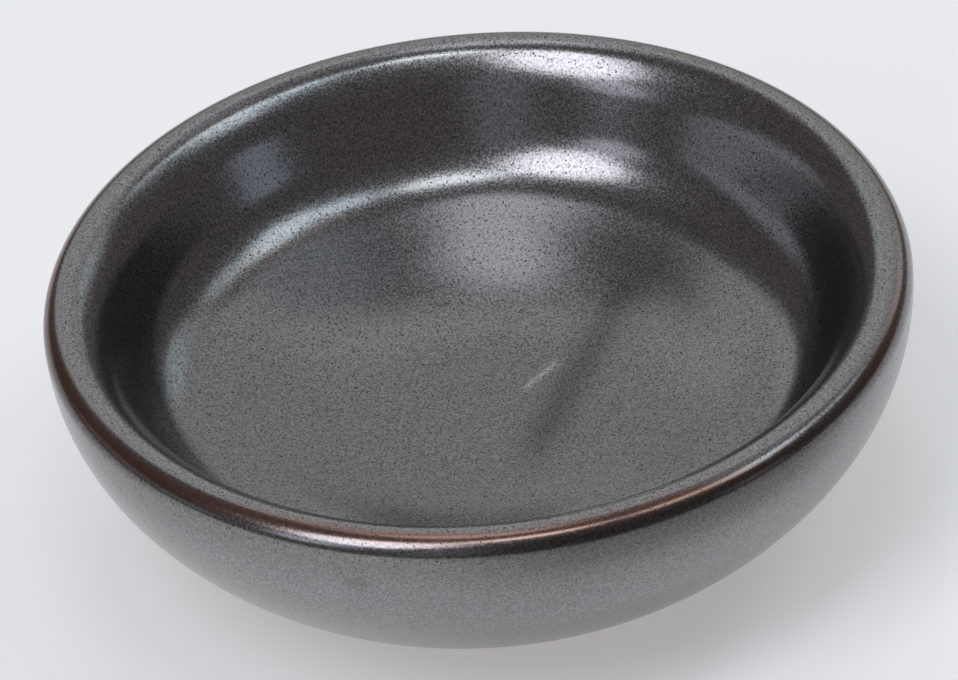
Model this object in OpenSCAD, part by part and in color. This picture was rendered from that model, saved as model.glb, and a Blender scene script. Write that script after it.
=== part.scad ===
// Soy sauce dish: one thrown stoneware body under coats of fired glaze.
// The dish stands on the plane z = 0, centred on the z axis.
// Everything is a surface of revolution, so every piece is one outline turned round the axis.
// The clay's outline is a single path from the middle of the floor, up the wall, over the lip,
// down the belly and round the foot. Each point of it carries the direction that faces away from
// the clay, and a coat of glaze is a stretch of that path thickened along those directions.

/* [Overall] */
// Outer diameter over the glaze
outer_d = 95; // [85:1:110]
// Height from the table to the top of the glazed lip
total_h = 30.8; // [28:0.2:35]
// Thickness of the fired glaze
glaze_t = 0.3; // [0.2:0.05:0.5]

/* [Lip] */
// Rounding of the clay's outer shoulder
lip_outer_r = 2.1; // [1.8:0.1:2.4]
// Rounding of the clay's inner shoulder
lip_inner_r = 3.4; // [3:0.1:3.8]
// How far in from the clay's edge the wall begins to lean out
lean_inset = 6; // [5.7:0.1:6.2]
// How far below the clay's top the wall begins to lean out
lean_drop = 2.2; // [2:0.1:2.5]
// Rounding where the wall leans out
lean_r = 10; // [4:0.5:11]

/* [Well] */
// Depth of the well from the lip's top to the middle of the floor
well_depth = 18; // [15:0.5:19.5]
// How far in from the clay's edge the floor's rising sweep turns up into the wall
wall_foot_inset = 11.4; // [10.8:0.2:12.4]
// Height of that turn above the middle of the floor
wall_foot_h = 6.1; // [4.5:0.1:7]
// How far the sweep runs, from that turn in to the level floor
sweep_run = 18.3; // [16:0.1:20]
// Rounding between the level floor and the rising sweep
sweep_fillet = 60; // [20:5:70]
// Rounding between the sweep and the wall
wall_foot_fillet = 12; // [4:1:15]

/* [Foot] */
// Diameter at which the belly's curve ends on the foot
neck_d = 53; // [44:1:60]
// Height of that end above the table
neck_h = 2; // [1.4:0.1:3]
// Rounding of the hollow between belly and foot
neck_fillet = 0.6; // [0.2:0.1:0.8]
// Lean of the foot's outer side from upright, in degrees
foot_draft = 10; // [0:1:20]
// Width of the foot's resting face between its unrounded corners
foot_ring_w = 3.4; // [2.4:0.2:6]
// Rounding of the resting face's two edges
foot_edge_r = 0.5; // [0.2:0.1:0.6]

/* [Underside] */
// Height of the hollow under the dish, at its middle
hollow_h = 6; // [3:0.5:8]
// How much higher the hollow is at its middle than at its side
hollow_dome = 1; // [0.4:0.2:2]
// How far the hollow's side leans inwards on its way up
hollow_lean = 1.2; // [0:0.2:3]
// Rounding between the hollow's side and its ceiling
hollow_fillet = 2; // [0.5:0.5:3]

/* [Glazing] */
// Bare strip that is wiped clean between the outer glaze and the foot
wiped_w = 0.8; // [0.4:0.1:2]

/* [Hidden] */

// Straight runs in one rounding, in the belly's curve and in one full turn
bend_runs = 12;
belly_runs = 36;
turn_runs = 180;

// Fired colours
clay_colour = [0.60, 0.52, 0.45];
liner_colour = [0.37, 0.36, 0.36];
lip_colour = [0.42, 0.26, 0.19];
outer_colour = [0.46, 0.45, 0.44];

// The clay's own outside, under the glaze
clay_r = outer_d / 2 - glaze_t;
clay_h = total_h - glaze_t;
crest_r = clay_r - lip_outer_r;
floor_z = clay_h - well_depth;
shoulder_z = clay_h - lip_outer_r;

// Plane vectors
function unit(v) = v / norm(v);
function left_of(v) = [-v[1], v[0]];
function turned(v, a) = [v[0] * cos(a) - v[1] * sin(a), v[0] * sin(a) + v[1] * cos(a)];
function heading(a) = [cos(a), sin(a)];
function turn_between(u, w) = atan2(cross(u, w), u * w);
right_angle = 90;

// A spot on the path: where it is, and the direction that faces away from the clay,
// which is the left of the way the path runs
function spot(at, away) = [at, away];

// The path round corner b of the bend a, b, c, as spots on an arc of radius r
function bend(a, b, c, r) =
    let (
        along = unit(b - a),
        turn = turn_between(along, unit(c - b)),
        side = sign(turn),
        start = b - along * r * tan(abs(turn) / 2),
        centre = start + left_of(along) * side * r
    )
    [for (i = [0 : bend_runs])
        let (away = turned(left_of(along), turn * i / bend_runs))
        spot(centre - away * side * r, away)];

// Inside: level floor, rising sweep, wall, lean and inner shoulder
floor_centre = [0, floor_z];
wall_foot = [clay_r - wall_foot_inset, floor_z + wall_foot_h];
floor_bend = [wall_foot[0] - sweep_run, floor_z];
lean = [clay_r - lean_inset, clay_h - lean_drop];
crest = [crest_r, clay_h];

// The lean's line touches the inner shoulder's circle, and meets the level of the crest at the brim
to_shoulder = [crest_r, clay_h - lip_inner_r] - lean;
lean_slope = atan2(to_shoulder[1], to_shoulder[0]) + asin(lip_inner_r / norm(to_shoulder));
brim = [crest_r - lip_inner_r * tan(lean_slope / 2), clay_h];

well_path = concat(
    [spot(floor_centre, [0, 1])],
    bend(floor_centre, floor_bend, wall_foot, sweep_fillet),
    bend(floor_bend, wall_foot, lean, wall_foot_fillet),
    bend(wall_foot, lean, brim, lean_r),
    bend(lean, brim, crest, lip_inner_r)
);

// Outer shoulder: a quarter circle from the crest to the widest ring
lip_path = [for (i = [0 : bend_runs])
    let (away = heading(right_angle * (1 - i / bend_runs)))
    spot([crest_r, shoulder_z] + lip_outer_r * away, away)];

// Belly: an ellipse about the axis, from the widest ring to the neck of the foot
neck_r = neck_d / 2;
neck_turn = acos(neck_r / clay_r);
belly_h = (shoulder_z - neck_h) / sin(neck_turn);
wiped_turn = acos((neck_r + wiped_w) / clay_r);

function belly_along(t) = [-clay_r * sin(t), -belly_h * cos(t)];
function belly_spot(t) =
    spot([clay_r * cos(t), shoulder_z - belly_h * sin(t)], unit(left_of(belly_along(t))));
function belly_stretch(from, to) = [for (i = [0 : belly_runs])
    belly_spot(from + (to - from) * i / belly_runs)];

glazed_belly_path = belly_stretch(0, wiped_turn);
bare_belly_path = [belly_spot(neck_turn)];

// Foot: neck, outer side, resting face, then the hollow's side and its domed ceiling
neck = [neck_r, neck_h];
neck_along = unit(belly_along(neck_turn));
foot_side = -heading(right_angle - foot_draft);
neck_bend = neck + neck_along * neck_fillet * tan(turn_between(neck_along, foot_side) / 2);
foot_outer = neck_bend + foot_side * neck_bend[1] / cos(foot_draft);
foot_inner = foot_outer - [foot_ring_w, 0];
hollow_side = [foot_inner[0] - hollow_lean, hollow_h - hollow_dome];
hollow_centre = [0, hollow_h];

foot_path = concat(
    bend(neck, neck_bend, foot_outer, neck_fillet),
    bend(neck_bend, foot_outer, foot_inner, foot_edge_r),
    bend(foot_outer, foot_inner, hollow_side, foot_edge_r)
);
hollow_path = concat(
    bend(foot_inner, hollow_side, hollow_centre, hollow_fillet),
    [spot(hollow_centre, [0, -1])]
);

// The points of a path, raised off the clay by lift
function raised(path, lift) = [for (s = path) s[0] + s[1] * lift];
function reversed(points) = [for (i = [len(points) - 1 : -1 : 0]) points[i]];

module coat(path, colour) {
    color(colour)
        rotate_extrude($fn = turn_runs)
            polygon(concat(raised(path, glaze_t), reversed(raised(path, 0))));
}

// The clay: well, wall, lip, belly and foot, thrown and turned from one lump
module stoneware_body() {
    outline = concat(well_path, lip_path, glazed_belly_path, bare_belly_path, foot_path, hollow_path);
    color(clay_colour)
        rotate_extrude($fn = turn_runs)
            polygon(raised(outline, 0));
}

// The coat that is poured into the well, up to the crest of the lip
module liner_glaze() {
    coat(well_path, liner_colour);
}

// The band over the lip's outer shoulder, where the coats run thin and break to copper brown
module lip_glaze() {
    coat(lip_path, lip_colour);
}

// The coat that the outside is dipped in, down to the wiped strip above the foot
module outer_glaze() {
    coat(glazed_belly_path, outer_colour);
}

// The patch of glaze in the hollow inside the foot ring
module foot_well_glaze() {
    coat(hollow_path, liner_colour);
}

stoneware_body();
liner_glaze();
lip_glaze();
outer_glaze();
foot_well_glaze();
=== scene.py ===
# %% [markdown]
# A soy sauce dish in Blender: one pot of fired stoneware under a satin metallic glaze.
# The real dish is thrown on a wheel, so every cross-section through its axis is the same curve.
# It could be made with a Spin or Screw modifier, but a surface worked out with numpy lets the
# small things that hands, wheel and kiln leave behind be part of the shape itself.
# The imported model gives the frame: its size and place are read from there.

# %% Load the frame
import math

import bpy
import numpy as np
from mathutils import Matrix, Vector


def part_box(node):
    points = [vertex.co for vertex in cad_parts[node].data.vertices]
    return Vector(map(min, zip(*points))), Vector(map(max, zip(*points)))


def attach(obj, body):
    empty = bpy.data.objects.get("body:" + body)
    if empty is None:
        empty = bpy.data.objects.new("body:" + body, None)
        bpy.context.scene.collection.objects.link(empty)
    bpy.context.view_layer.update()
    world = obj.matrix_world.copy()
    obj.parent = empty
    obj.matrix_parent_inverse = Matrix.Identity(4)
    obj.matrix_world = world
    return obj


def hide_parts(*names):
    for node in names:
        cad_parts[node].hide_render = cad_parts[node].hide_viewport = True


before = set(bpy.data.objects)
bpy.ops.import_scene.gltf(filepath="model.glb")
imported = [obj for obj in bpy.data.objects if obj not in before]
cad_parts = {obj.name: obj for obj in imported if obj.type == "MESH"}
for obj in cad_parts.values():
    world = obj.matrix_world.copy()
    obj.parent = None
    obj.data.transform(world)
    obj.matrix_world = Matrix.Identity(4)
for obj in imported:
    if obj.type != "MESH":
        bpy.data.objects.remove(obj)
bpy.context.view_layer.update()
MM = 0.001
print("packed nodes:", sorted(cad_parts))

# %% [markdown]
# A potter would describe the dish with a handful of sizes: how wide and tall it is, how deep the
# well goes, how tightly the lip is rolled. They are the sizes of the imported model, in metres.
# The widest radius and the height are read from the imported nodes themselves.

# %% Sizes
GLAZE = 0.3 * MM
OUTER_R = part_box("lip_glaze")[1].x
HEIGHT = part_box("lip_glaze")[1].z
LIP_OUTER_R = 2.1 * MM
LIP_INNER_R = 3.4 * MM
LEAN_INSET = 6.0 * MM
LEAN_DROP = 2.2 * MM
LEAN_R = 10 * MM
WELL_DEPTH = 18 * MM
WALL_FOOT_INSET = 11.4 * MM
WALL_FOOT_H = 6.1 * MM
WALL_FOOT_FILLET = 12 * MM
SWEEP_RUN = 18.3 * MM
SWEEP_FILLET = 60 * MM
NECK_R = 26.5 * MM
NECK_H = 2 * MM
NECK_FILLET = 0.6 * MM
FOOT_DRAFT = math.radians(10)
FOOT_RING_W = 3.4 * MM
FOOT_EDGE_R = 0.5 * MM
HOLLOW_H = 6 * MM
HOLLOW_DOME = 1 * MM
HOLLOW_LEAN = 1.2 * MM
HOLLOW_FILLET = 2 * MM
WIPED_W = 0.8 * MM

CLAY_R = OUTER_R - GLAZE
CLAY_H = HEIGHT - GLAZE
CREST_R = CLAY_R - LIP_OUTER_R
FLOOR_Z = CLAY_H - WELL_DEPTH
SHOULDER_Z = CLAY_H - LIP_OUTER_R
print(f"clay radius {CLAY_R / MM:.2f} mm, clay height {CLAY_H / MM:.2f} mm")

# %% [markdown]
# The clay's outline is one path in the plane of radius and height. It starts in the middle of the
# floor, climbs the wall, rolls over the lip and runs down the belly to the foot. Each spot of the
# path holds four numbers: radius, height, and the direction that faces away from the clay.
# Straight stretches are joined by arcs, the way a turning tool rounds them.

# %% A rounded corner of the outline
ARC_RUNS = 40


def unit(v):
    """The direction of v."""
    return v / np.linalg.norm(v)


def left_of(v):
    """The vector v turned a quarter turn to the left."""
    return np.array([-v[1], v[0]])


def turn_between(u, w):
    """The angle from u to w: the arctangent of their cross product over their dot product."""
    return math.atan2(u[0] * w[1] - u[1] * w[0], u @ w)


def bend(a, b, c, radius):
    """The arc that rounds corner b of the path a, b, c. It touches both legs at radius times the
    tangent of half the turn from b, and its spots are its centre plus or minus radius times away."""
    a, b, c = (np.array(p, float) for p in (a, b, c))
    along = unit(b - a)
    left, turn = left_of(along), turn_between(along, unit(c - b))
    centre = b - along * radius * math.tan(abs(turn) / 2) + left * math.copysign(radius, turn)
    angles = turn * np.linspace(0, 1, ARC_RUNS + 1)[:, None]
    away = left * np.cos(angles) + left_of(left) * np.sin(angles)
    return np.hstack([centre - away * math.copysign(radius, turn), away])

# %% [markdown]
# Two stretches of the path are what a hand meets first: the well that holds the sauce, and the
# rolled lip that must not chip. They could be drawn by eye as a Bezier curve, but then they would
# miss the solids by a little everywhere. Written from the named sizes, they are the same curves as
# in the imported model.

# %% The well and the lip
def well_path():
    """Level floor, rising sweep, wall, lean and inner shoulder, up to the crest of the lip. The
    lean's line touches the inner shoulder's circle, so its slope is the slope to the circle's
    centre plus the arcsine of radius over distance."""
    middle, crest = (0, FLOOR_Z), (CREST_R, CLAY_H)
    wall_foot = (CLAY_R - WALL_FOOT_INSET, FLOOR_Z + WALL_FOOT_H)
    floor_bend = (wall_foot[0] - SWEEP_RUN, FLOOR_Z)
    lean = np.array([CLAY_R - LEAN_INSET, CLAY_H - LEAN_DROP])
    to_shoulder = np.array([CREST_R, CLAY_H - LIP_INNER_R]) - lean
    slope = math.atan2(to_shoulder[1], to_shoulder[0])
    slope += math.asin(LIP_INNER_R / np.linalg.norm(to_shoulder))
    brim = (CREST_R - LIP_INNER_R * math.tan(slope / 2), CLAY_H)
    return np.vstack([
        [[0, FLOOR_Z, 0, 1]],
        bend(middle, floor_bend, wall_foot, SWEEP_FILLET),
        bend(floor_bend, wall_foot, lean, WALL_FOOT_FILLET),
        bend(wall_foot, lean, brim, LEAN_R),
        bend(lean, brim, crest, LIP_INNER_R),
    ])


def lip_path():
    """A quarter circle over the outer shoulder, from the crest to the widest ring."""
    angles = np.linspace(math.pi / 2, 0, ARC_RUNS + 1)[:, None]
    away = np.hstack([np.cos(angles), np.sin(angles)])
    return np.hstack([np.array([CREST_R, SHOULDER_Z]) + LIP_OUTER_R * away, away])

# %% [markdown]
# The belly is a stretch of an ellipse whose centre is on the axis, level with the widest ring.
# It is written with the angle below that ring as its one parameter, so the same function can
# take a whole array of angles: a different one for every point of the glaze's wavy lower edge.

# %% The belly
NECK_TURN = math.acos(NECK_R / CLAY_R)
WIPED_TURN = math.acos((NECK_R + WIPED_W) / CLAY_R)
BELLY_H = (SHOULDER_Z - NECK_H) / math.sin(NECK_TURN)


def belly_spots(t):
    """Spots of the ellipse with half axes CLAY_R and BELLY_H: the radius is CLAY_R cos t, the
    height is BELLY_H sin t below the shoulder, and away is the ellipse's normal."""
    across, down = BELLY_H * np.cos(t), CLAY_R * np.sin(t)
    size = np.hypot(across, down)
    height = SHOULDER_Z - BELLY_H * np.sin(t)
    return np.stack([CLAY_R * np.cos(t), height, across / size, -down / size], axis=-1)


print(f"belly half axes {CLAY_R / MM:.1f} by {BELLY_H / MM:.1f} mm")

# %% [markdown]
# When the dish is leather hard it is turned upside down and a foot ring is trimmed out of its base.
# The ring's outer side leans in a little, its resting face is narrow so that the dish doesn't rock,
# and the hollow inside it is slightly domed. A small arc at every corner catches the light the way
# a wiped edge does; a Bevel modifier could do that too, but here the outline already has arcs.

# %% The foot and the hollow under the dish
def foot_paths():
    """Neck, foot side and resting face as one path, and the hollow's side and ceiling as another.
    The foot's side starts where a rounding of NECK_FILLET leaves the belly's end."""
    neck = belly_spots(NECK_TURN)
    along = np.array([neck[3], -neck[2]])
    side = -np.array([math.sin(FOOT_DRAFT), math.cos(FOOT_DRAFT)])
    corner = neck[:2] + along * NECK_FILLET * math.tan(turn_between(along, side) / 2)
    outer = corner + side * corner[1] / math.cos(FOOT_DRAFT)
    inner = outer - np.array([FOOT_RING_W, 0])
    hollow_side = (inner[0] - HOLLOW_LEAN, HOLLOW_H - HOLLOW_DOME)
    ring = np.vstack([
        bend(neck[:2], corner, outer, NECK_FILLET),
        bend(corner, outer, inner, FOOT_EDGE_R),
        bend(outer, inner, hollow_side, FOOT_EDGE_R),
    ])
    ceiling = np.vstack([
        bend(inner, hollow_side, (0, HOLLOW_H), HOLLOW_FILLET),
        [[0, HOLLOW_H, 0, -1]],
    ])
    return ring, ceiling


FOOT_RING, HOLLOW = foot_paths()
print(f"foot ring reaches out to radius {FOOT_RING[:, 0].max() / MM:.1f} mm")

# %% [markdown]
# The path's spots are crowded on the arcs and far apart on the straights. A surface needs rings
# that are close where it turns and wider where it is nearly flat, so they are set out again,
# evenly along a measure that grows both with the way walked and with the angle turned.

# %% Rings set out along a path
AROUND = 480
TURN = np.linspace(0, 2 * math.pi, AROUND, endpoint=False)


def set_out(path, step, turn_step):
    """Rings of the path, evenly spaced in length over step plus turn over turn_step."""
    length = np.linalg.norm(np.diff(path[:, :2], axis=0), axis=1)
    turn = np.abs(np.diff(np.unwrap(np.arctan2(path[:, 3], path[:, 2]))))
    measure = np.concatenate([[0], np.cumsum(length / step + turn / turn_step)])
    even = np.linspace(0, measure[-1], int(measure[-1]) + 2)
    rings = np.column_stack([np.interp(even, measure, column) for column in path.T])
    rings[:, 2:] /= np.linalg.norm(rings[:, 2:], axis=1, keepdims=True)
    return rings[:, None, :]


def turned(rings, lift=0.0):
    """Rings turned round the axis and lifted off the clay: each point is (r cos a, r sin a, z),
    where r and z are the ring's radius and height plus lift times its away direction."""
    radius = rings[..., 0] + lift * rings[..., 2]
    height = rings[..., 1] + lift * rings[..., 3]
    x, y = radius * np.cos(TURN), radius * np.sin(TURN)
    return np.stack([x, y, np.broadcast_to(height, x.shape)], axis=-1)

# %% [markdown]
# Clay that was thrown by hand is never quite true. A finger left a shallow groove and a small ridge
# across the floor, and a soft dent in the belly at the front. Such marks have no edges: they fade
# out as a bell curve does. So the bell curve comes first, and a stroke of a finger is a bowed line
# with a bell curve across it and at its ends.

# %% Marks that fade out
STROKE_FULL, STROKE_FADE = 0.6, 0.2
GROOVE = (17.9 * MM, 18.2 * MM), (4.0 * MM, -11.5 * MM), -0.8 * MM, 2.4 * MM
RIDGE = (4.0 * MM, 1.4 * MM), (8.2 * MM, 6.0 * MM), 0, 0.45 * MM
FLOOR_FADE = 3 * MM
DENT_TURN, DENT_Z = math.radians(-109), 25 * MM
DENT_WIDTH, DENT_TALL, DENT_INWARD = 1.6 * MM, 0.9 * MM, 2 * MM


def bell(*ratios):
    """e to the minus sum of the squares of the ratios, which is 1 where all of them are 0."""
    return np.exp(-sum(ratio**2 for ratio in ratios))


def stroke(x, y, start, end, bow, width):
    """1 along a line from start to end that is bowed sideways by bow in its middle. It falls off as
    a bell curve over width to both sides, and towards and past the ends from STROKE_FULL of half
    its length on, over STROKE_FADE of its length."""
    start, end = np.array(start), np.array(end)
    reach = np.linalg.norm(end - start)
    dx, dy = (end - start) / reach
    along = ((x - start[0]) * dx + (y - start[1]) * dy) / reach
    beside = (y - start[1]) * dx - (x - start[0]) * dy - bow * (1 - (2 * along - 1) ** 2)
    past = np.maximum(np.abs(2 * along - 1) - STROKE_FULL, 0) * reach / 2
    return bell(beside / width, past / (reach * STROKE_FADE))


def on_floor(z):
    """1 at the level of the floor, falling off as a bell curve in height."""
    return bell((z - FLOOR_Z) / FLOOR_FADE)


def dented(angle, r, z):
    """1 in the middle of the belly's dent, falling off as a bell curve round the dish, in height
    and inwards, so that the wall inside stays as it is."""
    beside = (angle - DENT_TURN) * CLAY_R / DENT_WIDTH
    return bell(beside, (z - DENT_Z) / DENT_TALL, (r - CLAY_R) / DENT_INWARD)

# %% [markdown]
# Two more things are larger and slower: the whole dish is slightly uneven all round, and the foot
# of the wall sinks back towards the front right. Each shows as a bent reflection, and painting it
# would look flat. So all five are one height in metres that is added along the surface's own normal.
# The waves only ever take away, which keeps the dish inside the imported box.

# %% What hands left in the clay
GROOVE_DEPTH, RIDGE_HEIGHT, DENT_DEPTH = 0.07 * MM, 0.02 * MM, 0.05 * MM
# Each wave: how many go round the dish, their height, where they start, and how slowly they climb
WAVES = (2, 0.03 * MM, 0.7, 9 * MM), (3, 0.02 * MM, -1.3, math.inf), (5, 0.012 * MM, 2.1, -6 * MM)
TRUE_BELOW, WAVY_ABOVE = 3 * MM, 10 * MM
SINK, SINK_AWAY = 1.3 * MM, math.radians(110)
SINK_R, SINK_Z, SINK_WIDE, SINK_TALL = 35 * MM, 20 * MM, 6 * MM, 7 * MM


def sunk(angle, r, z):
    """How far the foot of the wall sinks back: not at all at the azimuth SINK_AWAY, most on the far
    side, as half of 1 minus the cosine between, and falling off over the wall as a bell curve."""
    near_foot = bell((r - SINK_R) / SINK_WIDE, (z - SINK_Z) / SINK_TALL)
    return SINK * (1 - np.cos(angle - SINK_AWAY)) / 2 * near_foot


def relief(points):
    """Height that hands left at each point: sine waves round the axis, less 1 so that they only take
    away, fading towards the middle and the trimmed foot; then the groove, the ridge, the dent and
    the wall's uneven foot."""
    x, y, z = np.moveaxis(points, -1, 0)
    angle, r = np.arctan2(y, x), np.hypot(x, y)
    waves = sum(high * (np.sin(count * angle + start + z / climb) - 1)
                for count, high, start, climb in WAVES)
    waves *= (r / CLAY_R) ** 2 * np.clip((z - TRUE_BELOW) / (WAVY_ABOVE - TRUE_BELOW), 0, 1)
    floor = RIDGE_HEIGHT * stroke(x, y, *RIDGE) - GROOVE_DEPTH * stroke(x, y, *GROOVE)
    return waves + floor * on_floor(z) - DENT_DEPTH * dented(angle, r, z) - sunk(angle, r, z)

# %% [markdown]
# All the glaze on the inside and outside is one skin, so it is worked out as one grid: the rings
# of the well, the lip and the belly, each with its lift off the clay. The grid is cut into three
# coats only afterwards. They share the rings where they meet and the normals there, so no seam
# shows, and each can still be repainted by itself. At its lower edge the glaze is a rounded bead
# that wanders up and down a little.

# %% The grid of the glazed skin
RING_STEP, RING_TURN = 0.45 * MM, math.radians(3.5)
BELLY_ROWS, BEAD_ROWS = 70, 10
BEAD_W, BEAD_SWELL, SWELL_REACH = 0.7 * MM, 0.35, 1.5
# Each wave of the lower edge: how many go round, their share of the belly, and where they start
EDGE_WAVES = (3, 0.006, 0.4), (7, 0.004, 2), (16, 0.003, 0)


def bead_share():
    """Shares of the belly's length from 0 to 1. The last stretch, one bead wide, follows the sine of
    an angle so that a quarter round can stand on it."""
    start = 1 - BEAD_W / (BELLY_H * WIPED_TURN)
    edge = np.sin(np.linspace(0, math.pi / 2, BEAD_ROWS + 1))
    down = np.concatenate([np.linspace(0, start, BELLY_ROWS), (start + (1 - start) * edge)[1:]])
    return down[1:], start


def bead_lift(share, start):
    """The glaze's thickness: swollen just above its edge as a bell curve, then falling as a quarter
    round, the square root of 1 minus the square of the way into the bead."""
    into = np.clip((share - start) / (1 - start), 0, 1)
    swell = 1 + BEAD_SWELL * bell((share - start) / (SWELL_REACH * (1 - start)))
    return GLAZE * swell * np.sqrt(1 - into**2)


well = set_out(well_path(), RING_STEP, RING_TURN)[1:]
lip = set_out(lip_path(), RING_STEP, RING_TURN)[1:]
share, bead_start = bead_share()
edge_wander = sum(size * np.sin(count * TURN + start) for count, size, start in EDGE_WAVES)
belly = belly_spots(share[:, None] * WIPED_TURN * (1 + share[:, None] * edge_wander))
skin = np.concatenate([np.broadcast_to(r, (len(r), AROUND, 4)) for r in (well, lip, belly)])
lift = np.concatenate([np.full(len(well) + len(lip), GLAZE), bead_lift(share, bead_start)])
print(f"glazed skin: {len(well)} rings in the well, {len(lip)} on the lip, {len(belly)} on the belly")

# %% [markdown]
# A glossy surface shows every fault in its normals. Blender can work them out from the faces, but
# then they stop at the cuts between the coats. The grid knows better: the slope along the way and
# the step round the axis are two differences of neighbouring points, and their cross product is
# the normal, with all that hands left in the clay in it.

# %% Its points and normals
def walked(rings):
    """Length of the way along the rings, from the first ring to each."""
    steps = np.linalg.norm(np.diff(rings[:, 0, :2], axis=0), axis=1)
    return np.concatenate([[0], np.cumsum(steps)])


def facing(points, way):
    """The unit normals of a grid: the slope along the way crossed with the step round the axis."""
    onward = np.gradient(points, way, axis=0)
    around = np.roll(points, -1, axis=1) - np.roll(points, 1, axis=1)
    normal = np.cross(onward, around)
    return normal / np.linalg.norm(normal, axis=-1, keepdims=True)


hands = relief(turned(skin))
skin_top = turned(skin, lift[:, None] + hands)
skin_under = turned(skin, hands)
top_facing, under_facing = facing(skin_top, walked(skin)), -facing(skin_under, walked(skin))
print(f"hands moved the surface by {hands.min() / MM:.3f} to {hands.max() / MM:.3f} mm")

# %% [markdown]
# Blender shades a mesh with one normal for every corner of every face, and a script can set them
# all. Each corner takes the grid's normal at its point, as the grid knows it better than Blender
# can guess it at a cut. Only the narrow walls that close a coat keep their own flat normals.

# %% A normal for every corner
def corner_normals(mesh, normals, walls, poles):
    """The normal of each face corner: that of its point, or of its face where the face is a wall."""
    point_normals = normals.reshape(-1, 3)
    if poles:
        ends = [unit(normals[0].sum(0)), unit(normals[-1].sum(0))]
        point_normals = np.vstack([point_normals, ends])
    corners = np.empty(len(mesh.loops), int)
    mesh.loops.foreach_get("vertex_index", corners)
    found = point_normals[corners]
    flat = np.empty(len(mesh.polygons) * 3)
    mesh.polygons.foreach_get("normal", flat)
    flat = flat.reshape(-1, 3)
    for ring in walls:
        faces = slice(ring * AROUND, (ring + 1) * AROUND)
        found[ring * AROUND * 4:(ring + 1) * AROUND * 4] = np.repeat(flat[faces], 4, axis=0)
    return found.tolist()

# %% [markdown]
# A coat of glaze is a thin closed shell, because it is also cut out as a solid: its outer face,
# an inner face against the clay, and edge walls that close it. from_pydata takes the whole grid
# of faces at once, and foreach_set takes one value for every point, which a material can read.

# %% A closed skin over rings of points
def ring_mesh(name, rings, poles=(), normals=None, walls=(), marks=()):
    """Quads between neighbouring rings. The last ring joins the first, or with two poles each end
    closes in a fan of triangles. Faces after the rings in walls keep their own flat normals. Each
    of the marks is a name and one value for every point of the rings, kept for the shader."""
    count = len(rings)
    index = np.arange(count * AROUND).reshape(count, AROUND)
    here, onward = (index[:-1], index[1:]) if len(poles) else (index, np.roll(index, -1, axis=0))
    quads = np.stack([here, onward, np.roll(onward, -1, 1), np.roll(here, -1, 1)], axis=-1)
    faces = quads.reshape(-1, 4).tolist()
    points = rings.reshape(-1, 3)
    if len(poles):
        points = np.vstack([points, poles])
        first, last = index[0], index[-1]
        start, end = np.full(AROUND, index.size), np.full(AROUND, index.size + 1)
        faces += np.stack([start, first, np.roll(first, -1)], axis=-1).tolist()
        faces += np.stack([last, end, np.roll(last, -1)], axis=-1).tolist()
    mesh = bpy.data.meshes.new(name)
    mesh.from_pydata(points.tolist(), [], faces)
    mesh.shade_smooth()
    if normals is not None:
        mesh.normals_split_custom_set(corner_normals(mesh, normals, walls, len(poles)))
    for mark, values in dict(marks).items():
        column = np.append(values.ravel(), np.zeros(len(poles))).astype(np.float32)
        mesh.attributes.new(mark, "FLOAT", "POINT").data.foreach_set("value", column)
    piece = bpy.data.objects.new(name, mesh)
    bpy.context.scene.collection.objects.link(piece)
    print(f"{name}: {sum(len(f) - 2 for f in faces)} triangles")
    return piece

# %% [markdown]
# Molten glaze draws back from a tight curve, and where it is left thin it breaks to copper brown.
# On this dish the brown line is strong at the left and in front, and fainter at the right and
# behind, because the pouring and the dipping overlap unevenly. It could be painted by hand in
# Blender, but a value per point, worked out from the angle by which the lip faces outwards, follows
# the lip exactly. How strong it is at each side of the dish was set by comparing renders with the
# photograph.

# %% Where the glaze runs thin
TURN_DEGREES = (np.degrees(TURN) + 180) % 360 - 180
LIP_FADE = 3 * MM
BREAK_ABOVE, BREAK_BELOW = math.radians(18), math.radians(25)
# Azimuth in degrees, outward angle of the brown line's middle in degrees, and its strength
BREAK = (
    (-180, 43, 0.9), (-165, 35, 0.95), (-135, 35, 0.9), (-118, 15, 0.7), (-100, 14, 0.85),
    (-85, 23, 0.8), (-66, 25, 0.9), (-54, 46, 0.6), (-44, 50, 0.35), (-28, 45, 0.7),
    (-12, 28, 0.55), (0, 32, 0.4), (90, 20, 0.3), (150, 40, 0.5), (180, 43, 0.9),
)


def round_the_dish(table):
    """Each column of the table at every point of a ring, read off between the rows by azimuth."""
    turns, *columns = zip(*table)
    return [np.interp(TURN_DEGREES, turns, column) for column in columns]


def over_the_lip(rings):
    """The angle by which each spot faces outwards, and a share that is 1 on the lip and 0 off it."""
    return np.arctan2(rings[..., 2], rings[..., 3]), bell((rings[..., 1] - CLAY_H) / LIP_FADE)


def thinness(rings):
    """How thin the glaze runs, from 0 to 1: a bell curve of the angle by which the lip faces
    outwards, steeper on its upper side, whose middle and strength vary round the dish."""
    outwards, near_top = over_the_lip(rings)
    middle, strength = round_the_dish(BREAK)
    past = outwards - np.radians(middle)
    width = np.where(past < 0, BREAK_ABOVE, BREAK_BELOW)
    return bell(past / width) * near_top * strength


skin_thin = thinness(skin)
print(f"the glaze is more than half thin on {(skin_thin > 0.5).mean():.1%} of the grid")
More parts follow.
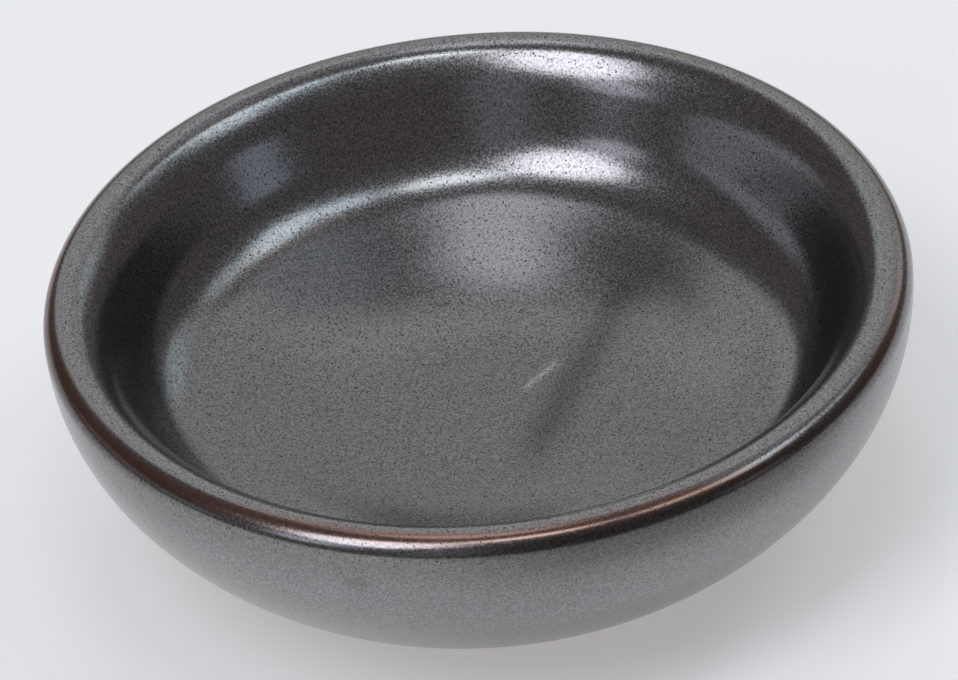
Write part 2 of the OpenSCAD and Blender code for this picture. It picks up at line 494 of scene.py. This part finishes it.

# %% [markdown]
# A second value per point darkens or lightens the glaze's colour, and all of it is painted light.
# It paints a dark reflection of the room in a band under the brown line and down the front of the
# belly, and a paler belly where the bright floor is reflected. It paints shade in the floor's groove
# and in the belly's dent, a sheen on the lip's crest and a glint along the small ridge. The same
# value could be a painted layer of colour, but here it moves with the shapes that cause it.

# %% Painted shade and sheen
# Painted light: a dark reflection band under the brown line, a sheen on the crest, shade in the
# groove and the dent, and a glint on the ridge
SHADE_MIDDLE, SHADE_ABOVE, SHADE_DOWN = math.radians(56), math.radians(20), 3.5 * MM
CREST_MIDDLE, CREST_WIDTH, CREST_PAINTED_SHEEN = math.radians(-6), math.radians(14), 0.3
GROOVE_PAINTED_SHADE, RIDGE_PAINTED_GLINT, DENT_PAINTED_SHADE = 0.40, 0.7, 0.25
# Azimuth in degrees, strength of the painted dark reflection band, and how far in degrees it reaches
# down the belly
PAINTED_DARK_BAND = (
    (-180, 0.5, 22), (-140, 0.5, 20), (-125, 0.1, 20), (-105, 0.1, 20), (-92, 0.45, 40),
    (-80, 0.6, 65), (-50, 0.6, 65), (-38, 0.5, 30), (-30, 0.5, 20), (-10, 0.0, 20),
    (140, 0.1, 20), (180, 0.5, 20),
)
# Azimuth in degrees, and how much paler the belly is painted there, as a painted reflection of the
# bright floor
PAINTED_PALE_BELLY = (
    (-180, 0.05), (-150, 0.15), (-130, 0.35), (-112, 0.30), (-92, 0.12),
    (-70, 0.10), (-45, 0.12), (-20, 0.14), (0, 0.05), (180, 0.05),
)


def painted_shade_and_sheen(rings, points):
    """How much painted shade darkens the glaze, less than 0 where painted sheen lightens it: a bell
    curve of the outward angle for a painted dark reflection band, less the belly's painted paleness
    and the crest's painted sheen, plus painted shade in the groove and the dent and a painted glint
    on the ridge."""
    outwards, near_top = over_the_lip(rings)
    strength, reach = round_the_dish(PAINTED_DARK_BAND)
    (painted_pale,) = round_the_dish(PAINTED_PALE_BELLY)
    past = outwards - SHADE_MIDDLE
    width = np.where(past < 0, SHADE_ABOVE, np.radians(reach))
    below = np.clip(SHOULDER_Z - rings[..., 1], 0, None) / SHADE_DOWN
    band = bell(past / width, below) * strength
    band -= np.where(outwards > 0, painted_pale * (1 - bell(below)), 0)
    band -= CREST_PAINTED_SHEEN * bell((outwards - CREST_MIDDLE) / CREST_WIDTH) * near_top
    x, y, z = np.moveaxis(points, -1, 0)
    # Painted shade in the floor's groove, less a painted glint along the ridge
    painted_floor_marks = GROOVE_PAINTED_SHADE * stroke(x, y, *GROOVE) - RIDGE_PAINTED_GLINT * stroke(x, y, *RIDGE)
    painted_dent_shade = DENT_PAINTED_SHADE * dented(np.arctan2(y, x), np.hypot(x, y), z)
    return band + painted_dent_shade + painted_floor_marks * on_floor(z)


# Painted shade and sheen at every point of the grid, for the glaze's colour
skin_painted_shade_and_sheen = painted_shade_and_sheen(skin, skin_top)
print(f"shade runs from {skin_painted_shade_and_sheen.min():.2f} to {skin_painted_shade_and_sheen.max():.2f}")

# %% [markdown]
# The three coats are cut from the grid: the one poured into the well, the band over the lip, and
# the one on the outside. Each could be a Solidify modifier over a sheet, but a shell whose inner
# face is the clay's own surface closes exactly. The inner faces are hidden, so they take only every
# fourth ring, which keeps each coat light.

# %% The three coats
UNDER_EVERY = 4


def coat(name, first, last, pole=False, edge=False):
    """A shell over the skin's rings first to last: the outer rings, then the inner rings back."""
    inmost = last - 1 if edge else last
    under = np.unique(np.append(np.arange(first, last, UNDER_EVERY), inmost))[::-1]
    rings = np.concatenate([skin_top[first:last + 1], skin_under[under]])
    normals = np.concatenate([top_facing[first:last + 1], under_facing[under]])
    rows = np.append(np.arange(first, last + 1), under)
    # The second mark carries painted shade and sheen into the glaze's colour
    marks = {"thin": skin_thin[rows], "painted_shade_and_sheen": skin_painted_shade_and_sheen[rows]}
    poles = [[0, 0, FLOOR_Z + GLAZE], [0, 0, FLOOR_Z]] if pole else []
    cut, closing = [] if edge else [last - first], [] if pole else [len(rings) - 1]
    return ring_mesh(name, rings, poles, normals, cut + closing, marks)


CREST_RING = len(well) - 1
WIDEST_RING = CREST_RING + len(lip)
liner_coat = coat("liner_coat", 0, CREST_RING, pole=True)
lip_coat = coat("lip_coat", CREST_RING, WIDEST_RING)
outer_coat = coat("outer_coat", WIDEST_RING, len(skin) - 1, edge=True)

# %% [markdown]
# The patch of glaze in the hollow under the dish is a fourth coat. It was brushed on by itself, so
# it ends in a rounded bead too. The bead is a quarter circle on the thickness, not a bump in the
# material, so the edge is really there in the mesh, for a fingertip too.

# %% The patch of glaze in the hollow
PATCH_STEP = 0.4 * MM
hollow = set_out(HOLLOW, PATCH_STEP, RING_TURN)[:-1]
short_of_bead = np.clip(1 - walked(hollow) / BEAD_W, 0, 1)
patch_lift = GLAZE * np.sqrt(1 - short_of_bead**2)
patch_top, patch_under = turned(hollow, patch_lift[:, None]), turned(hollow)
inner_rings = np.arange(len(hollow) - 1, 0, -UNDER_EVERY)
patch_rings = np.concatenate([patch_under[inner_rings], patch_top])
patch_poles = [[0, 0, HOLLOW_H], [0, 0, HOLLOW_H - GLAZE]]
foot_well_coat = ring_mesh("foot_well_coat", patch_rings, patch_poles)

# %% [markdown]
# The clay is one closed skin from the floor of the well, over the lip and round the foot to the
# middle of the hollow. Where glaze hides it, few rings are enough. The bare neck, foot ring and
# wiped strips are what the eye meets when the dish is turned over, so they get fine ones. The
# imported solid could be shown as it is, but then the clay would not follow what hands left in it.

# %% The clay
HIDDEN_STEP, HIDDEN_TURN = 1.4 * MM, math.radians(12)
BARE_STEP, BARE_TURN = 0.2 * MM, math.radians(8)
BARE_FROM = 0.95 * WIPED_TURN
HIDDEN_SPOTS, BARE_SPOTS = 60, 20
hidden_belly = belly_spots(np.linspace(0, BARE_FROM, HIDDEN_SPOTS))
bare_belly = belly_spots(np.linspace(BARE_FROM, NECK_TURN, BARE_SPOTS))
clay_rings = np.concatenate([
    set_out(np.vstack([well_path(), lip_path(), hidden_belly]), HIDDEN_STEP, HIDDEN_TURN)[1:],
    set_out(np.vstack([bare_belly, FOOT_RING]), BARE_STEP, BARE_TURN)[1:],
    set_out(HOLLOW, HIDDEN_STEP, HIDDEN_TURN)[1:-1],
])
clay_points = turned(clay_rings, relief(turned(clay_rings)))
clay_body = ring_mesh("clay_body", clay_points, [[0, 0, FLOOR_Z], [0, 0, HOLLOW_H]])

# %% [markdown]
# A material is a tree of nodes, and written out node by node it is long. Each step that is used
# more than once is a small function that adds its node and gives back its output, so a material
# reads like a sentence. All patterns use Object coordinates: the pieces have their real size, so a
# pattern's scale is simply 1 over its width in metres.

# %% A shader tree and its nodes
NOISE_LOW, NOISE_MIDDLE, NOISE_HIGH = 0.3, 0.5, 0.7


def shader(name):
    """A new material, its node tree and its Principled node."""
    material = bpy.data.materials.new(name)
    material.use_nodes = True
    return material, material.node_tree, material.node_tree.nodes["Principled BSDF"]


def add(tree, kind, values=(), **settings):
    """A node of this kind with its settings. Each value is a number for a socket, or an output to
    link to it."""
    made = tree.nodes.new(kind)
    for key, value in settings.items():
        setattr(made, key, value)
    for socket, value in dict(values).items():
        if isinstance(value, bpy.types.NodeSocket):
            tree.links.new(value, made.inputs[socket])
        else:
            made.inputs[socket].default_value = value
    return made


def math_node(tree, operation, a, b=0.0, c=0.0):
    """The result of one sum on sockets or numbers."""
    return add(tree, "ShaderNodeMath", {0: a, 1: b, 2: c}, operation=operation).outputs[0]


def noise(tree, place, size, detail=2.0, rough=0.5):
    """Noise from about NOISE_LOW to NOISE_HIGH whose patches are about size metres wide."""
    values = {"Vector": place, "Scale": 1 / size, "Detail": detail, "Roughness": rough}
    return add(tree, "ShaderNodeTexNoise", values).outputs["Fac"]


def ramp(tree, value, low, high):
    """0 below low, 1 above high and a smooth step between them."""
    values = {"Value": value, "From Min": low, "From Max": high}
    made = add(tree, "ShaderNodeMapRange", values, interpolation_type="SMOOTHSTEP")
    return made.outputs["Result"]


def mix(tree, share, a, b):
    """Colour a where share is 0 and colour b where it is 1."""
    made = add(tree, "ShaderNodeMix", {0: share}, data_type="RGBA")
    for socket, value in ((6, a), (7, b)):
        if isinstance(value, bpy.types.NodeSocket):
            tree.links.new(value, made.inputs[socket])
        else:
            made.inputs[socket].default_value = (*value, 1)
    return made.outputs[2]

# %% [markdown]
# Specks are what makes stoneware look like stoneware: grains of iron that come through the glaze,
# and grog in the bare clay. A cell pattern gives one middle to each, but bare circles would look
# printed. So noise pushes each place about a little, which makes the outlines ragged, and a slower
# noise makes some specks larger and leaves others out.

# %% Specks
NO_SPECK, LARGEST_SPECK = 0.35, 0.75


def specks(tree, place, spacing, radius, wander):
    """1 inside scattered specks: the distance to the nearest point of a cell pattern, measured from
    a place that noise pushes about by wander, is less than a limit. The limit is up to twice the
    radius, as a slower noise goes from NO_SPECK to LARGEST_SPECK."""
    values = {"Vector": place, "Scale": 1 / (2 * radius), "Detail": 2.0}
    values = {0: add(tree, "ShaderNodeTexNoise", values).outputs["Color"], 1: (NOISE_MIDDLE,) * 3}
    offset = add(tree, "ShaderNodeVectorMath", values, operation="SUBTRACT").outputs[0]
    values = {0: offset, 1: (2 * wander,) * 3, 2: place}
    moved = add(tree, "ShaderNodeVectorMath", values, operation="MULTIPLY_ADD").outputs[0]
    cells = add(tree, "ShaderNodeTexVoronoi", {"Vector": moved, "Scale": 1 / spacing})
    size = ramp(tree, noise(tree, place, 4 * radius), NO_SPECK, LARGEST_SPECK)
    limit = math_node(tree, "MULTIPLY", size, 2 * radius / spacing)
    return math_node(tree, "LESS_THAN", cells.outputs["Distance"], limit)

# %% [markdown]
# Satin metallic glaze is a skin of fine metal-like crystals, so its shader is fully metallic and
# dark: it shows mostly what it reflects, blurred. Three patterns break it up at their real sizes:
# black specks about a tenth of a millimetre wide where iron came through, a fine mottle from one
# crystal patch to the next, and a ripple that makes highlights look grainy at their edges. The thin
# attribute says where it turns to copper brown, and a second attribute darkens or lightens the
# colour with painted shade, sheen and reflections. A picture texture could carry all this, but it
# would blur close up, and patterns worked out in place never do.

# %% The metallic glaze
GLAZE_GREY, SPECK = np.array((0.238, 0.233, 0.234)), (0.075, 0.070, 0.068)
COPPER = (0.26, 0.148, 0.112)
# Size, detail and roughness of each noise
MOTTLE, RAGGED, RIPPLE = (0.26 * MM, 2.0, 0.5), (0.4 * MM, 3.0, 0.7), (0.3 * MM, 2.0, 0.5)
RAGGED_BY, COPPER_STARTS, COPPER_FULL = 0.8, 0.40, 1.40
SPECK_APART, SPECK_WANDER, SPECK_PIT = 0.36 * MM, 0.10 * MM, 0.5
SATIN, MOTTLE_ROUGH, SPECK_ROUGH = 0.18, 0.06, 0.15


def metal_glaze(name, mottled, rippled, speck_r):
    """Dark metal under specks, mottle and ripple, turning to copper brown where the glaze is thin.
    The mottle runs from 1 - mottled to 1 + mottled times the grey, the ripple is rippled high, and
    the specks are about speck_r in radius. Last, the colour is multiplied by 1 less the painted shade
    and sheen value, which paints in shade, sheen and reflections."""
    material, tree, metal = shader(name)
    place = add(tree, "ShaderNodeTexCoord").outputs["Object"]
    thin = add(tree, "ShaderNodeAttribute", attribute_name="thin").outputs["Fac"]
    painted_shading = add(tree, "ShaderNodeAttribute", attribute_name="painted_shade_and_sheen").outputs["Fac"]
    mottle = ramp(tree, noise(tree, place, *MOTTLE), NOISE_LOW, NOISE_HIGH)
    grey = mix(tree, mottle, GLAZE_GREY * (1 - mottled), GLAZE_GREY * (1 + mottled))
    ragged = math_node(tree, "MULTIPLY_ADD", noise(tree, place, *RAGGED), RAGGED_BY, thin)
    broken = ramp(tree, ragged, COPPER_STARTS, COPPER_FULL)
    speck = specks(tree, place, SPECK_APART, speck_r, SPECK_WANDER)
    colour = mix(tree, speck, mix(tree, broken, grey, COPPER), SPECK)
    # The colour is darkened or lightened by the painted shade and sheen
    values = {0: colour, 3: math_node(tree, "SUBTRACT", 1.0, painted_shading)}
    colour = add(tree, "ShaderNodeVectorMath", values, operation="SCALE").outputs["Vector"]
    tree.links.new(colour, metal.inputs["Base Color"])
    rough = math_node(tree, "MULTIPLY_ADD", mottle, MOTTLE_ROUGH, SATIN)
    rough = math_node(tree, "MULTIPLY_ADD", speck, SPECK_ROUGH, rough)
    tree.links.new(rough, metal.inputs["Roughness"])
    metal.inputs["Metallic"].default_value = 1.0
    height = math_node(tree, "MULTIPLY_ADD", speck, -SPECK_PIT, noise(tree, place, *RIPPLE))
    bump = add(tree, "ShaderNodeBump", {"Height": height, "Distance": rippled})
    tree.links.new(bump.outputs["Normal"], metal.inputs["Normal"])
    return material

# %% [markdown]
# Bare stoneware is the opposite of the glaze: rough, warm and dry, with sand grains and darker
# grog in it. It shows only on the foot and the wiped strips. The grains could be sculpted, at the
# price of millions of faces, but a bump of two grain sizes is enough at this scale.

# %% The bare clay
CLAY_PALE, CLAY_BROWN, GROG = (0.42, 0.33, 0.25), (0.30, 0.21, 0.15), (0.09, 0.06, 0.045)
PATCHES, PATCH_LOW, PATCH_HIGH = (4 * MM, 4.0, 0.5), 0.35, 0.65
GROG_APART, GROG_R, GROG_WANDER = 0.9 * MM, 0.16 * MM, 0.1 * MM
FINE_SAND, COARSE_SAND = (0.25 * MM, 4.0, 0.7), (1 * MM, 2.0, 0.5)
SAND_HEIGHT, DRY_ROUGH = 0.05 * MM, 0.85


def bare_clay(name):
    """Two browns in soft patches, dark grog grains, and a grainy bump at two sizes."""
    material, tree, body = shader(name)
    place = add(tree, "ShaderNodeTexCoord").outputs["Object"]
    patches = ramp(tree, noise(tree, place, *PATCHES), PATCH_LOW, PATCH_HIGH)
    grains = specks(tree, place, GROG_APART, GROG_R, GROG_WANDER)
    clay = mix(tree, patches, CLAY_PALE, CLAY_BROWN)
    tree.links.new(mix(tree, grains, clay, GROG), body.inputs["Base Color"])
    body.inputs["Roughness"].default_value = DRY_ROUGH
    fine, coarse = noise(tree, place, *FINE_SAND), noise(tree, place, *COARSE_SAND)
    values = {"Height": math_node(tree, "ADD", fine, coarse), "Distance": SAND_HEIGHT}
    tree.links.new(add(tree, "ShaderNodeBump", values).outputs["Normal"], body.inputs["Normal"])
    return material

# %% [markdown]
# All four coats are the same glaze, but they didn't fire alike: it is more mottled in the well,
# where it lies level and thick, and smoother on the outside. So one function makes all four
# materials, each with its own mottle, ripple height and speck radius.

# %% Every piece gets its finish
INSIDE = (0.36, 0.006 * MM, 0.082 * MM)
LIP = (0.28, 0.004 * MM, 0.07 * MM)
OUTSIDE = (0.22, 0.004 * MM, 0.058 * MM)
GLAZED = {liner_coat: INSIDE, lip_coat: LIP, outer_coat: OUTSIDE, foot_well_coat: OUTSIDE}
for piece, qualities in GLAZED.items():
    piece.data.materials.append(metal_glaze(piece.name.replace("coat", "glaze"), *qualities))
clay_body.data.materials.append(bare_clay("bare_stoneware"))
print("finishes:", [piece.data.materials[0].name for piece in (*GLAZED, clay_body)])

# %% [markdown]
# Every piece rides on the one body that this dish has and stands for the imported node whose place
# it takes, which is hidden. The record's finish for each is listed beside it but is not used.

# %% Pieces and the nodes they stand for
STANDS_FOR = {
    clay_body: ("stoneware_body", "fired_clay"),
    liner_coat: ("liner_glaze", "liner_glaze"),
    lip_coat: ("lip_glaze", "lip_glaze"),
    outer_coat: ("outer_glaze", "outer_glaze"),
    foot_well_coat: ("foot_well_glaze", "foot_well_glaze"),
}
for piece, (node, finish) in STANDS_FOR.items():
    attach(piece, "root")
    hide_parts(node)
    print(piece.name, "stands for", node)

# %% [markdown]
# The dish is shown on a plain pale floor under even, dim light from all round. A metal shows its
# surroundings, so the floor's brightness is what the belly looks like: it glows a little by itself,
# as a light table does. Without that, the dish's own shadow would turn the belly black. A brighter
# sky could do it too, but it would also grey the reflections in the well.

# %% The floor and the air
FLOOR_R, FLOOR_CORNERS = 6.0, 128
FLOOR_PALE, FLOOR_ROUGH, FLOOR_GLOW = 0.80, 0.9, 0.3
AIR, FAR_PALE = (0.165, 0.149, 0.150), 0.9


def pale_floor():
    """A matt disc that reaches far past the view, lit a little from within like a light table."""
    bpy.ops.mesh.primitive_circle_add(vertices=FLOOR_CORNERS, radius=FLOOR_R, fill_type="NGON")
    floor = bpy.context.object
    floor.name = "pale_floor"
    material, _, face = shader("pale_floor")
    face.inputs["Base Color"].default_value = (FLOOR_PALE, FLOOR_PALE, FLOOR_PALE, 1)
    face.inputs["Roughness"].default_value = FLOOR_ROUGH
    face.inputs["Emission Color"].default_value = (1, 1, 1, 1)
    face.inputs["Emission Strength"].default_value = FLOOR_GLOW
    floor.data.materials.append(material)


def still_air():
    """Even light from all round. To the camera alone the far background is as pale as the floor."""
    world = bpy.data.worlds.new("still_air")
    bpy.context.scene.world = world
    world.use_nodes = True
    tree = world.node_tree
    seen = add(tree, "ShaderNodeLightPath").outputs["Is Camera Ray"]
    tree.links.new(mix(tree, seen, AIR, (FAR_PALE,) * 3), tree.nodes["Background"].inputs["Color"])


pale_floor()
still_air()
print(f"floor {2 * FLOOR_R:.0f} m across, air at {AIR}")

# %% [markdown]
# The panels are the look of the metal. A photographer would hang soft boxes; a few large oval area
# lights do the same here. Each is given by where it is in the sky as seen from the dish, how many
# degrees it spans and how bright its face is, because that is how its reflection is read off the
# dish. Three bright ones, at the left, in front overhead and at the right, make the highlights on
# the walls and the lip, and dimmer ones stand for the ceiling and the room. Their places and sizes
# were set one by one. Their brightness and tint come mostly from a fit of renders, lit by one panel
# at a time, to the photographed reflections, and were rounded.

# %% The soft panels
LIGHT_AWAY = 2.0


def sky(azimuth, elevation):
    """The direction at this azimuth, counted from +X towards +Y, and elevation above the floor."""
    a, e = math.radians(azimuth), math.radians(elevation)
    return Vector((math.cos(e) * math.cos(a), math.cos(e) * math.sin(a), math.sin(e)))


def panel(name, azimuth, elevation, wide, tall, brightness, tint=(1, 1, 1)):
    """An oval panel that faces the dish and spans wide by tall degrees: each side is twice the
    distance times the tangent of half its angle, and the power is brightness times pi times area."""
    light = bpy.data.lights.new(name, "AREA")
    light.shape = "ELLIPSE"
    light.size = 2 * LIGHT_AWAY * math.tan(math.radians(wide / 2))
    light.size_y = 2 * LIGHT_AWAY * math.tan(math.radians(tall / 2))
    light.energy = brightness * math.pi * light.size * light.size_y * math.pi / 4
    light.color = tint
    lamp = bpy.data.objects.new(name, light)
    towards = sky(azimuth, elevation)
    lamp.location = towards * LIGHT_AWAY
    lamp.rotation_euler = towards.to_track_quat("Z", "Y").to_euler()
    lamp.visible_camera = False
    bpy.context.scene.collection.objects.link(lamp)


panel("window_left", 226, 57, 27, 34, 4.4, (0.89, 0.91, 1.0))
panel("window_left_low", 221, 30, 17, 18, 1.45, (0.82, 0.86, 1.0))
panel("front_glow", 257, 28, 18, 34, 0.23, (0.80, 0.84, 1.0))
panel("bridge", 285, 77, 20, 11, 4.7, (0.86, 0.94, 1.0))
panel("window_right_top", 344, 66, 12, 12, 2.9, (0.72, 0.88, 1.0))
panel("window_right", 5, 55, 24, 15, 2.4, (0.76, 0.92, 1.0))
panel("window_right_edge", 20, 60, 34, 24, 0.16, (1.0, 0.80, 0.65))
panel("ceiling_back", 97, 69, 12, 24, 1.55, (0.85, 0.92, 1.0))
panel("blue_glow", 56, 60, 14, 14, 0.38, (0.60, 0.82, 1.0))
panel("back_wall", 80, 33, 75, 44, 0.46, (0.93, 0.98, 1.0))
panel("back_shelf", 86, 51, 38, 12, 0.2, (1.0, 0.88, 0.92))
panel("back_low", 90, 12, 24, 14, 0.18)
panel("back_door", 113, 32, 14, 34, 0.16, (0.81, 0.97, 1.0))
panel("back_corner", 50, 26, 18, 14, 0.39, (0.60, 0.90, 1.0))
panel("side_shelf", 28, 44, 14, 12, 1.0, (0.80, 0.93, 1.0))
panel("side_left", 175, 13, 50, 14, 0.41, (0.78, 0.89, 1.0))
panel("side_right", 335, 15, 16, 13, 0.65, (0.63, 0.80, 1.0))
print("panels:", len(bpy.data.lights))

# %% [markdown]
# The camera stands where the photographer stood: the lip's ellipse gives its height above the
# table, the change in size from back to front gives its distance, and the outline its place in
# the picture. The picture was taken with the camera leaning a little to one side.

# %% The camera
PICTURE_W, PICTURE_H, SENSOR = 958, 680, 36.0
CAMERA_RISE, CAMERA_LEAN = math.radians(36.38), math.radians(5.50)
CAMERA_AWAY, CREST_PIXEL, PIXELS_PER_MM = 650 * MM, (475.45, 270.27), 9.206


def photograph_camera():
    """A camera whose ray through CREST_PIXEL meets the middle of the lip's crest from CAMERA_AWAY.
    Its focal length in pixels is the picture's scale times that distance."""
    focal = PIXELS_PER_MM * CAMERA_AWAY / MM
    right, up = Vector((1, 0, 0)), Vector((0, math.sin(CAMERA_RISE), math.cos(CAMERA_RISE)))
    back = right.cross(up)
    wide = math.cos(CAMERA_LEAN) * right - math.sin(CAMERA_LEAN) * up
    high = math.sin(CAMERA_LEAN) * right + math.cos(CAMERA_LEAN) * up
    straight = Matrix((wide, high, back)).transposed()
    ray = Vector((CREST_PIXEL[0] - PICTURE_W / 2, PICTURE_H / 2 - CREST_PIXEL[1], -focal))
    aside = ray.normalized().rotation_difference(Vector((0, 0, -1))).to_matrix()
    camera = bpy.data.objects.new("camera", bpy.data.cameras.new("camera"))
    camera.data.sensor_width = SENSOR
    camera.data.lens = focal * SENSOR / PICTURE_W
    camera.location = Vector((0, 0, HEIGHT)) + back * CAMERA_AWAY
    camera.rotation_euler = (straight @ aside).to_euler()
    bpy.context.scene.collection.objects.link(camera)
    bpy.context.scene.camera = camera
    print(f"lens {camera.data.lens:.0f} mm, {camera.data.clip_start:.1f} m nearest")


photograph_camera()
bpy.context.scene.view_settings.view_transform = "Standard"
